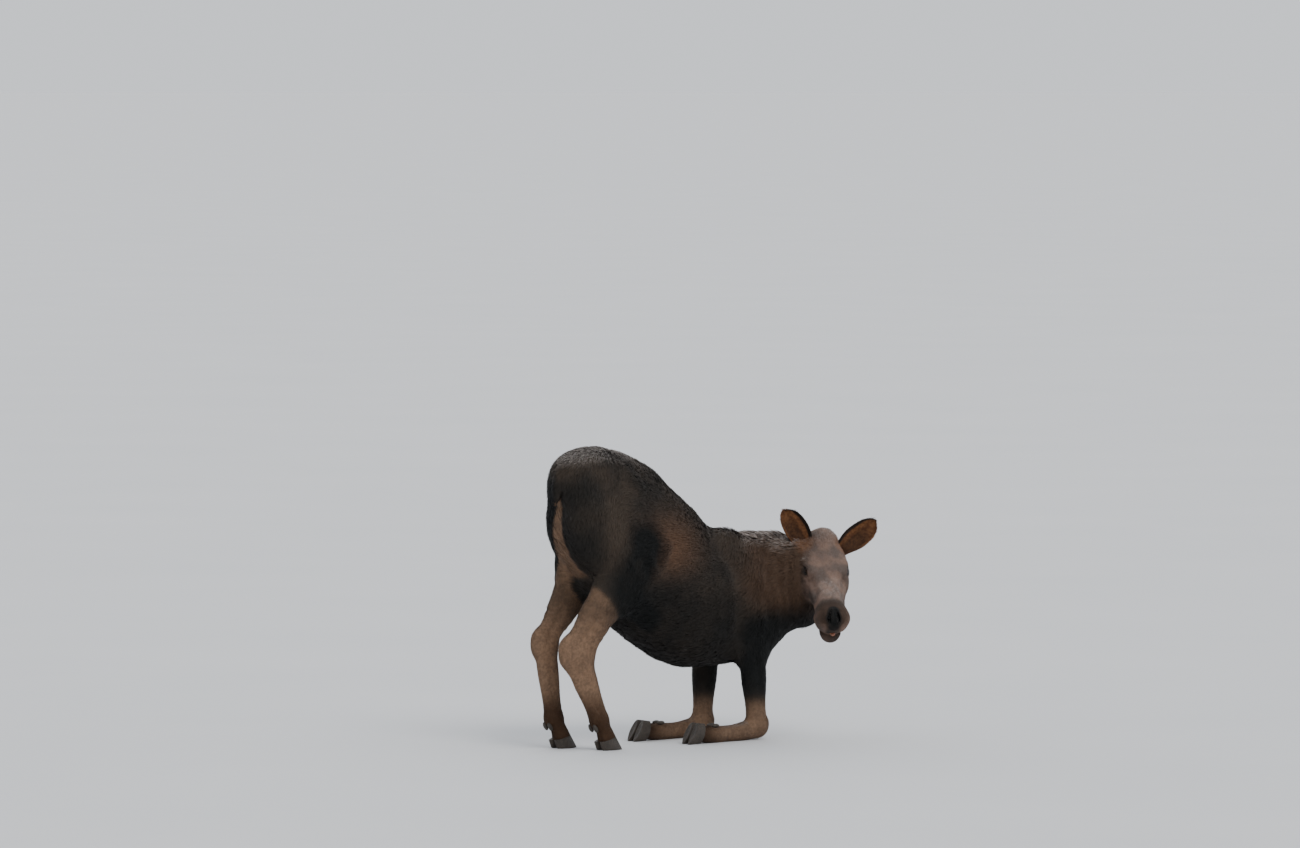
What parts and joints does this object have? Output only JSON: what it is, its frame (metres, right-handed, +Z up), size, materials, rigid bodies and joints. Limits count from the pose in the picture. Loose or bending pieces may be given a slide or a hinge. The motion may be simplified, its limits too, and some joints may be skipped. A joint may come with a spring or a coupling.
{
  "type": "moose calf",
  "caption": "Still, life-size moose calf in winter coat, down on its front knees on straight hind legs, with its head turned back over its right shoulder",
  "frame": {"origin": "On the floor, under the middle of the model's bounding box.", "axes": "+Z is up, -Y is the way the trunk faces and +X is the animal's left. The model is longest along Y, from the rump to the far ear, and narrowest along X."},
  "size_m": [0.8282, 1.5942, 1.3562],
  "materials": {
    "coat_dark": "matte",
    "coat_back": "matte",
    "coat_shoulder": "matte",
    "coat_face": "matte",
    "coat_pale": "matte",
    "coat_shin": "matte",
    "ear_inside": "matte",
    "horn": "satin",
    "wet_eye": "gloss",
    "tongue": "satin"
  },
  "bodies": {
    "root": {"rump": "coat_back", "belly": "coat_back", "chest": "coat_shoulder", "neck": "coat_shoulder", "tail": "coat_dark", "lower_jaw": "coat_face", "tongue_tip": "tongue", "eye_left": "wet_eye", "ear_left": "ear_inside", "eye_right": "wet_eye", "ear_right": "ear_inside", "head": "coat_face", "hind_left_thigh": "coat_dark", "hind_left_shank": "coat_pale", "hind_left_cannon": "coat_pale", "hind_left_pastern": "coat_shin", "hind_left_hoof_outer": "horn", "hind_left_dewclaw_outer": "horn", "hind_left_hoof_inner": "horn", "hind_left_dewclaw_inner": "horn", "fore_left_forearm": "coat_dark", "fore_left_cannon": "coat_dark", "fore_left_pastern": "coat_shin", "fore_left_hoof_outer": "horn", "fore_left_dewclaw_outer": "horn", "fore_left_hoof_inner": "horn", "fore_left_dewclaw_inner": "horn", "hind_right_thigh": "coat_dark", "hind_right_shank": "coat_pale", "hind_right_cannon": "coat_pale", "hind_right_pastern": "coat_shin", "hind_right_hoof_outer": "horn", "hind_right_dewclaw_outer": "horn", "hind_right_hoof_inner": "horn", "hind_right_dewclaw_inner": "horn", "fore_right_forearm": "coat_dark", "fore_right_cannon": "coat_dark", "fore_right_pastern": "coat_shin", "fore_right_hoof_outer": "horn", "fore_right_dewclaw_outer": "horn", "fore_right_hoof_inner": "horn", "fore_right_dewclaw_inner": "horn"}
  },
  "joints": []
}
